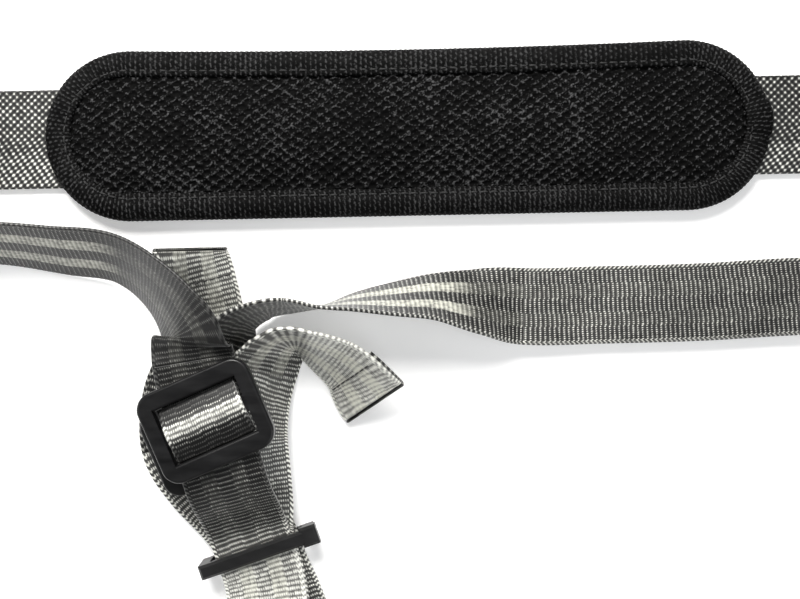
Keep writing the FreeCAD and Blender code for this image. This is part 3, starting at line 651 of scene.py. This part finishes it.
def make_pad_webbing():
    """Straight webbing under the pad, in three lengths so that each stays a light mesh."""
    span = PAD_WEB_HALF_LENGTH
    split = PAD_WEB_SPLIT
    middle = PAD_WEB_BOTTOM + PAD_WEB_THICK / 2
    north = Vector((0, 1, 0))
    rows = [(at + span, Vector((at, 0, middle)), north, UP) for at in steps_between(-span, span)]
    hair = 0.01
    for part, low, high in (("left", -span, -split), ("middle", -split, split), ("right", split, span)):
        chosen = [row for row in rows if low - hair <= row[1].x <= high + RIB / SAMPLES_PER_RIB]
        held = ("pad_webbing",) if part == "middle" else ()
        ribbon("pad_webbing_" + part, chosen, held,
               width=PAD_WEB_WIDTH, thick=PAD_WEB_THICK, weave=twill)


# ---------------------------------------------------------------- thread
def stitch_mesh(name, stitches, body, nodes, radius):
    """One mesh of separate stitches, each (start, end, normal): a thread that dives at both ends."""
    sides, rings = 6, 6
    points, faces = [], []
    crown, dive, taper = 0.9, 1.7, 0.35
    for start, end, normal in stitches:
        ahead = (end - start).normalized()
        beside = ahead.cross(normal).normalized()
        first = len(points)
        for i in range(rings):
            u = i / (rings - 1)
            from_middle = abs(2 * u - 1)
            middle = start.lerp(end, u) + normal * radius * (crown - dive * from_middle ** 4)
            fat = radius * (1 - taper * from_middle ** 3)
            for k in range(sides):
                angle = 2 * math.pi * k / sides
                around = beside * math.cos(angle) + normal * math.sin(angle)
                points.append(list(middle + around * fat))
        faces += [tuple(first + index for index in face) for face in ring_faces(rings, sides)]
    obj = mesh_object(name, points, faces, MATERIALS["thread"])
    return attach(obj, body, "thread", *nodes)


def stitches_along(points, normals, length, gap=0.5):
    """Stitches of one length along a line given by close points and their normals."""
    step = 0.1
    travelled = [0.0]
    for a, b in zip(points, points[1:]):
        travelled.append(travelled[-1] + (b - a).length)
    marks = np.arange(0, travelled[-1], step)

    def at_marks(vectors):
        tracks = [np.interp(marks, travelled, [vector[i] for vector in vectors]) for i in range(3)]
        return [Vector(spot) for spot in zip(*tracks)]

    picked, raised = at_marks(points), at_marks(normals)
    long, pitch = int(length / step), int((length + gap) / step)
    return [(picked[i], picked[i + long], raised[i + long // 2].normalized())
            for i in range(0, len(picked) - long, pitch)]


def make_hem(side, path, length):
    """The folded end under a tail, rolled round into it, and the row of stitches across."""
    end = path.knots[-1]
    centre, ahead, across, normal = path.frame(end)
    folded = path_strip(path, end - length, end, offset=-HEM_DROP)
    radius = HEM_DROP / 2
    roll = turn_strip(end, centre - normal * radius, radius, ahead, across, normal)
    roll_length = 2
    rows = folded + [(2 * end - at + roll_length, *rest) for at, *rest in reversed(roll[1:-1])]
    ribbon(side + "_tail_hem_weave", rows, (side + "_tail_hem",))
    from_fold, from_edge, steps = 1.7, 1.5, 10
    centre, _, across, normal = path.frame(end - length + from_fold)
    reach = WIDTH / 2 - from_edge
    line = [centre + across * (reach * i / steps) + normal * (THICK / 2) for i in range(-steps, steps + 1)]
    stitches = stitches_along(line, [normal] * len(line), length=2.1)
    nodes = (side + "_tail_hem_stitching",)
    stitch_mesh(side + "_tail_hem_thread", stitches, "harness", nodes, THIN_THREAD)


def make_join(side, sign):
    """Box and cross of stitches where a strap is sewn to the pad webbing."""
    from_end, from_edge = 1.5, 2.5
    half_x, half_y = (JOIN_OUT - JOIN_IN) / 2 - from_end, WIDTH / 2 - from_edge
    middle = Vector((sign * (JOIN_OUT + JOIN_IN) / 2, 0, ON_PAD_WEB + THICK))
    turns = ((-1, -1), (1, -1), (1, 1), (-1, 1))
    corners = [middle + Vector((x * half_x, y * half_y, 0)) for x, y in turns]
    stitches = []
    for a, b in ((0, 1), (1, 2), (2, 3), (3, 0), (0, 2), (1, 3)):
        stitches += stitches_along([corners[a], corners[b]], [UP, UP], length=2.0)
    stitch_mesh(side + "_join_thread", stitches, "harness", (side + "_join_stitching",), THIN_THREAD)


def make_wrap(level, across_group, up_group, bottom):
    """Strap that climbs over an adjuster's middle bar and dives through both slots."""
    turn = GROUP_LEAN + SLIDER_SKEW
    sideways = Vector((math.cos(turn), math.sin(turn), 0))
    ahead = Vector((-math.sin(turn), math.cos(turn), 0))
    x, y, _, _ = at_group(across_group, up_group, 0)
    reach, low, rise, sharpness, nudge = 8.6, 0.62, 2.9, 1.5, 0.05

    def crest(at):
        climb = rise * math.cos(math.pi * at / (2 * reach)) ** sharpness
        return Vector((x, y, bottom + low + climb)) + ahead * at

    bar = 200
    rows = []
    for at in steps_between(-reach, reach):
        heading = (crest(min(reach, at + nudge)) - crest(max(-reach, at - nudge))).normalized()
        rows.append((at + bar, crest(at), sideways, sideways.cross(heading).normalized()))
    # Painted highlight across the crest over the middle bar, painted shade where the strap dives under the
    # outer bars.
    lit_band = ((-8, -0.55), (-4, -0.3), (-0.4, 0.5), (2, 0.5), (4, -0.15), (7, -0.55))
    shade = [(bar + at, value) for at, value in lit_band]
    ribbon(level + "_wrap_weave", rows, (level + "_slider_wrap",), level + "_adjuster",
           stripe_sheen=((0, 0),), shade=shade)


# ---------------------------------------------------------------- pad
def upper_dip(x):
    """How far the waisted upper edge lies inside a straight one."""
    return PAD_SPAN ** 2 / (2 * WAIST) - x * x / (2 * WAIST)


def inside_by(x, y):
    """Distance inside the pad's outline (numpy arrays or numbers), negative outside it."""
    over = np.maximum(np.abs(x) - PAD_SPAN, 0)
    ends = PAD_RADIUS - np.hypot(over, y)
    sides = np.minimum(PAD_RADIUS - upper_dip(x) - y, PAD_RADIUS + y)
    return np.where(over > 0, ends, sides)


def outline(step):
    """Closed loop of (point, outward direction) round the pad's edge, about step apart."""
    quarter = PAD_RADIUS * math.pi
    found = []
    for sign in (-1, 1):
        count = int(2 * PAD_SPAN / step)
        for i in range(count):
            x = sign * (PAD_SPAN - 2 * PAD_SPAN * i / count)
            y = -PAD_RADIUS if sign < 0 else PAD_RADIUS - upper_dip(x)
            found.append((Vector((x, y, 0)), Vector((0, sign, 0))))
        count = int(quarter / step)
        for i in range(count):
            angle = sign * math.pi / 2 + math.pi * i / count
            outward = Vector((math.cos(angle), math.sin(angle), 0))
            end = PAD_SPAN if sign < 0 else -PAD_SPAN
            found.append((Vector((end, 0, 0)) + outward * PAD_RADIUS, outward))
    return found


def dome(x, y):
    """Height of the plain pad cover before it is puffed."""
    inside = np.clip((inside_by(x, y) - COVER_INSET) / COVER_SHOULDER, 0, 1)
    return COVER_EDGE + (COVER_CROWN - COVER_EDGE) * np.sqrt(inside * (2 - inside))


def core_object():
    """Closed, evenly meshed block that fills the cover before it is puffed."""
    mesh = bpy.data.meshes.new("core")
    build = bmesh.new()
    loops = []
    shelves = ((COVER_INSET, COVER_FLOOR), (COVER_INSET, COVER_EDGE - 0.3), (9, 7.2), (15, 8.2))
    for inset, height in shelves:
        ring = [point - outward * inset + UP * height for point, outward in outline(CORE_STEP)]
        loops.append([build.verts.new(point * MM) for point in ring])
    for low, high in zip(loops, loops[1:]):
        for i in range(len(low)):
            k = (i + 1) % len(low)
            build.faces.new((low[i], low[k], high[k], high[i]))
    build.faces.new(loops[-1])
    build.faces.new(list(reversed(loops[0])))
    build.to_mesh(mesh)
    build.free()
    core = bpy.data.objects.new("core", mesh)
    bpy.context.collection.objects.link(core)
    bpy.context.view_layer.objects.active = core
    remesh = core.modifiers.new("remesh", "REMESH")
    remesh.mode = "VOXEL"
    remesh.voxel_size = CORE_VOXEL * MM
    apply_modifiers(core)
    return core


def puffed_cushion():
    """Pad core swelled by a short cloth simulation, as a tree that rays can be cast on."""
    core = core_object()
    rest = [vertex.co.copy() for vertex in core.data.vertices]
    sewn_height, sewn_inset = COVER_FLOOR + 0.8, COVER_INSET + 1.5
    held = [i for i, co in enumerate(rest)
            if co.z < sewn_height * MM or inside_by(co.x / MM, co.y / MM) < sewn_inset]
    core.vertex_groups.new(name="sewn").add(held, 1.0, "REPLACE")
    cloth = core.modifiers.new("cloth", "CLOTH")
    settings = cloth.settings
    settings.vertex_group_mass = "sewn"
    settings.effector_weights.gravity = 0
    settings.use_pressure = True
    settings.uniform_pressure_force = 4
    settings.quality = 4
    settings.tension_stiffness = settings.compression_stiffness = 12
    settings.bending_stiffness = 3
    cloth.collision_settings.use_collision = False
    scene = bpy.context.scene
    for number in range(1, PUFF_FRAMES + 1):
        scene.frame_set(number)
    apply_modifiers(core)
    scene.frame_set(1)
    cap = PUFF_CAP * MM
    for vertex, was in zip(core.data.vertices, rest):
        moved = vertex.co - was
        if moved.length > cap:
            vertex.co = was + moved.normalized() * cap
    tree = BVHTree.FromPolygons([v.co.copy() for v in core.data.vertices],
                                [tuple(face.vertices) for face in core.data.polygons])
    bpy.data.objects.remove(core)
    return tree


def apply_modifiers(obj):
    """Bake an object's modifiers into a new mesh of its own."""
    view = bpy.context.evaluated_depsgraph_get()
    baked = bpy.data.meshes.new_from_object(obj.evaluated_get(view))
    obj.modifiers.clear()
    obj.data = baked


def cover_heights(xs, ys):
    """Height of the puffed cover at each grid point."""
    plain = dome(xs, ys)
    tree = puffed_cushion()
    well_above, margin = 40, 1
    heights = plain.copy()
    for index in np.ndindex(xs.shape):
        if inside_by(xs[index], ys[index]) > COVER_INSET - margin:
            hit = tree.ray_cast(Vector((xs[index], ys[index], well_above)) * MM, -UP)[0]
            if hit is not None:
                heights[index] = hit.z / MM
    return heights


def mesh_holes(x, y):
    """Depth from 0 to 1 of the spacer mesh's staggered holes."""
    pitch_x, pitch_y = 4.6, 3.2
    half_long, half_wide = 1.45, 0.85
    rim, sharpness = 0.95, 9
    row = y / (pitch_y / 2)
    nearest = np.full(np.shape(x), np.inf)
    for offset in (0, 1):
        line = 2 * np.round((row - offset) / 2) + offset
        shift = pitch_x / 2 * (np.mod(line, 2))
        column = np.round((x - shift) / pitch_x)
        dx = (x - shift - column * pitch_x) / half_long
        dy = (y - line * pitch_y / 2) / half_wide
        nearest = np.minimum(nearest, np.hypot(dx, dy))
    return 1 / (1 + np.exp((nearest - rim) * sharpness))


def bumps(x, y, pitch):
    """Plain weave's rise and fall, from -1 to 1."""
    return np.cos(2 * math.pi * x / pitch) * np.cos(2 * math.pi * y / pitch)


def grid_piece(name, step, floor, heights, relief, tone, material):
    """Closed slab over a grid inside the pad's outline, its upper face shaped and its lower face flat."""
    xs, ys = np.meshgrid(np.arange(-PAD_SPAN - PAD_RADIUS, PAD_SPAN + PAD_RADIUS, step),
                         np.arange(-PAD_RADIUS, PAD_RADIUS, step), indexing="ij")
    top = heights(xs, ys) + relief(xs, ys)
    keep = inside_by(xs, ys) >= COVER_INSET
    index = np.full(xs.shape, -1)
    index[keep] = np.arange(keep.sum())
    a, b, c, d = index[:-1, :-1], index[1:, :-1], index[1:, 1:], index[:-1, 1:]
    whole = (a >= 0) & (b >= 0) & (c >= 0) & (d >= 0)
    quads = np.stack([a[whole], b[whole], c[whole], d[whole]], axis=1)
    points = np.stack([xs[keep], ys[keep], top[keep]], axis=1)
    mesh = bpy.data.meshes.new(name)
    mesh.from_pydata((points * MM).tolist(), [], quads.tolist())
    layer = mesh.attributes.new("tone", "FLOAT", "POINT")
    layer.data.foreach_set("value", tone(xs, ys)[keep].astype(np.float32))
    build = bmesh.new()
    build.from_mesh(mesh)
    rim = [edge for edge in build.edges if edge.is_boundary]
    made = bmesh.ops.extrude_edge_only(build, edges=rim)["geom"]
    for vertex in [item for item in made if isinstance(item, bmesh.types.BMVert)]:
        vertex.co.z = floor * MM
    lower = [item for item in made if isinstance(item, bmesh.types.BMEdge)]
    bmesh.ops.triangle_fill(build, edges=lower, use_beauty=False)
    bmesh.ops.delete(build, geom=[v for v in build.verts if not v.link_faces], context="VERTS")
    bmesh.ops.recalc_face_normals(build, faces=build.faces)
    build.to_mesh(mesh)
    build.free()
    mesh.polygons.foreach_set("use_smooth", [True] * len(mesh.polygons))
    mesh.materials.append(MATERIALS[material])
    obj = bpy.data.objects.new(name, mesh)
    bpy.context.collection.objects.link(obj)
    return obj


def make_cover():
    """Spacer-mesh face of the pad: puffed, with the holes cut as relief."""
    loop, loop_height, hole_depth = 0.9, 0.1, 0.7

    def relief(x, y):
        sag = 0.12 * np.sin(x / 9.1 + 1.3) * np.sin(y / 6.3) + 0.1 * np.sin(x / 23 + y / 11)
        return sag - hole_depth * mesh_holes(x, y) + loop_height * bumps(x, y, loop)

    def tone(x, y):
        knit = speckle(np.round(x / COVER_STEP), np.round(y / COVER_STEP))
        # Darker in the holes: painted shade in the recesses.
        return 0.16 + 0.4 * knit + 0.26 * (knit > 0.84) - 0.55 * mesh_holes(x, y)

    cover = grid_piece("pad_cover_mesh", COVER_STEP, COVER_FLOOR, cover_heights, relief, tone, "mesh")
    attach(cover, "pad", "spacer_mesh", "pad_mesh_cover", "pad_foam")


def make_back():
    """Plain woven back of the pad."""
    weave, step = 2.4, 0.8

    def heights(x, _):
        return np.full(np.shape(x), BACK_TOP)

    def relief(x, y):
        return 0.04 * bumps(x, y, weave)

    def tone(x, y):
        return 0.5 + 0.2 * bumps(x, y, weave)

    back = grid_piece("pad_back_cloth", step, BACK_FLOOR, heights, relief, tone, "lining")
    attach(back, "pad", "lining", "pad_back_panel")


def make_binding():
    """Ribbed tape wrapped round the pad's edge, puckered a little, its ends lapped at one tip."""
    edge = outline(BINDING_RIB / SAMPLES_PER_RIB)
    top_edge = [(8.6, 6.3), (8.75, 6.9), (8.4, 7.35), (7.6, 7.55)]
    over = [(6.9, 7.35), (6.2, 7.5), (5.2, 7.65), (4.2, 7.6), (3.2, 7.35), (2.3, 7.0), (1.5, 6.5)]
    rim = [(0.8, 5.9), (0.3, 5.2), (0.1, 4.6), (0.3, 3.9), (0.9, 3.3), (1.8, 2.95)]
    under = [(3.0, 2.85), (4.6, 2.82), (6.2, 2.82), (7.6, 2.85), (8.4, 3.0)]
    inner = [(8.5, 3.4), (7.9, 3.7), (6.2, 4.0), (4.9, 4.6), (5.0, 5.6), (6.6, 6.1)]
    profile = top_edge + over + rim + under + inner
    shown = len(profile) - len(inner)
    rib_top, rib_side, lap_height, lap_reach = 0.16, 0.14, 0.75, 4.5
    points, tone = [], []
    travelled = 0.0
    for number, (point, outward) in enumerate(edge):
        if number:
            travelled += (point - edge[number - 1][0]).length
        rib = wave(travelled / BINDING_RIB)
        pucker = 0.16 * math.sin(travelled / 5.3) + 0.1 * math.sin(travelled / 2.1 + 1)
        wander = 0.14 * math.sin(travelled / 8.7 + 2)
        tip = math.exp(-((point.y - 2) / lap_reach) ** 2) if point.x > PAD_SPAN else 0.0
        lap = lap_height * tip ** 0.5 if tip > 0.2 else 0.0
        for spot_number, (inset, height) in enumerate(profile):
            is_shown = spot_number < shown
            proud = rib_top * rib + pucker * (inset > 1) + lap if is_shown else 0.0
            drop = 0.12 * rib * is_shown
            wavering = wander if inset > 7 else 0
            swelling = rib_side * rib + lap if inset < 2 else 0
            spot = point - outward * (inset + wavering - swelling)
            points.append((spot.x, spot.y, height + (proud if height > 4.6 else -drop)))
            fleck = 0.3 * (float(speckle(number // 2, spot_number)) - 0.5)
            pick = wave((spot_number + number // SAMPLES_PER_RIB) / 2)
            # Painted highlight on the rib crests and painted shade between them; pick and fleck are the
            # tape's own weave and random flecks.
            tone.append(rib ** 2 * (0.25 + 0.75 * pick) + fleck if is_shown else 0.2)
    obj = mesh_object("pad_binding_tape", points, ring_faces(len(edge), len(profile), True),
                      MATERIALS["binding"], {"tone": tone})
    attach(obj, "pad", "binding_tape", "pad_binding")
    line = [point - outward * STITCH_INSET + UP * STITCH_HEIGHT for point, outward in outline(0.5)]
    stitches = stitches_along(line + line[:1], [UP] * (len(line) + 1), length=2.6, gap=0.7)
    stitch_mesh("pad_edge_thread", stitches, "pad", ("pad_edge_stitching",), EDGE_THREAD)


def rounded(value, sharpness):
    """A sine or cosine pushed outwards, so that a circle becomes a rounded rectangle."""
    return math.copysign(abs(value) ** sharpness, value)


def make_sleeve():
    """Flat tube of cloth on the pad's back that the pad webbing runs through."""
    low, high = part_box("pad_sleeve")
    half_x, half_y = (high[0] - low[0]) / 2 / MM, (high[1] - low[1]) / 2 / MM
    top = high[2] / MM
    wall, sides, row_gap = 0.75, 96, 1.1
    outer, inner = [], []
    for i in range(sides):
        angle = 2 * math.pi * i / sides
        for ring, thickness in ((outer, 0), (inner, wall)):
            y = rounded(math.cos(angle), 0.16) * (half_y - thickness)
            z = rounded(math.sin(angle), 0.5) * (top / 2 - thickness)
            ring.append((y, z + top / 2))
    section = outer + outer[:1] + inner[:1] + inner[:0:-1]
    rows = int(2 * half_x / row_gap) + 1
    ripple, ripple_length, weave, flat_bottom = 0.03, 3.3, 2.2, 0.3
    points, tone = [], []
    for i in range(rows):
        x = -half_x + 2 * half_x * i / (rows - 1)
        for y, z in section:
            rise = ripple * math.cos(2 * math.pi * x / ripple_length) if z > flat_bottom else 0
            points.append((x, y, z + rise))
            tone.append(0.45 + 0.25 * bumps(x, y, weave))
    obj = mesh_object("pad_sleeve_cloth", points, ring_faces(rows, len(section)), MATERIALS["lining"],
                      {"tone": tone})
    attach(obj, "pad", "lining", "pad_sleeve")
    from_end, from_edge, from_centre, height = 3, 2.5, 4, 0.3
    stitches = []
    for side in (-1, 1):
        for end in (-1, 1):
            start = Vector((end * (half_x - from_end), side * (half_y - from_edge), height))
            stop = Vector((end * from_centre, side * (half_y - from_edge), height))
            stitches += stitches_along([start, stop], [-UP, -UP], length=2.6, gap=0.8)
    stitch_mesh("pad_sleeve_thread", stitches, "pad", (), SLEEVE_THREAD)


# ---------------------------------------------------------------- plastic
def make_plastic():
    """The adjusters and the keeper keep their CAD shape and take the moulded finish."""
    for node in ("upper_slider", "lower_slider", "keeper"):
        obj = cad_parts[node]
        obj.data.materials.clear()
        obj.data.materials.append(MATERIALS["plastic"])


MATERIALS = {
    "webbing": webbing_material("webbing_grey", dark=(0.002, 0.002, 0.002), middle=(0.085, 0.085, 0.081),
                                light=(0.85, 0.85, 0.79), pale=(0.72, 0.72, 0.63)),
    "mesh": cloth_material("spacer_mesh_black", dark=(0.0002, 0.0002, 0.0002), light=(0.075, 0.075, 0.077),
                           rough=0.8, sheen=0, fine=1500, bump=0.5),
    "binding": cloth_material("grosgrain_black", dark=(0.0002, 0.0002, 0.0002), light=(0.05, 0.05, 0.051),
                              rough=0.7, sheen=0, fine=1700, bump=0.45),
    "lining": cloth_material("lining_black", dark=(0.002, 0.002, 0.0022), light=(0.024, 0.024, 0.025),
                             rough=0.7, sheen=0.03, fine=1900, bump=0.4),
    "thread": thread_material("thread_black", dark=(0.003, 0.003, 0.003), light=(0.03, 0.03, 0.03)),
    "plastic": plastic_material("acetal_black")}

make_camera()
make_lights()
make_floor(floor_material())
make_runs()
make_hem("left", LEFT_RETURN, LEFT_HEM)
make_hem("right", RIGHT_RETURN, RIGHT_HEM)
make_join("left", -1)
make_join("right", 1)
make_wrap("upper", 0, 0, UPPER_SLIDER_BOTTOM)
make_wrap("lower", *LOWER_SLIDER_AT, LOWER_SLIDER_BOTTOM)
make_cover()
make_back()
make_binding()
make_sleeve()
make_plastic()
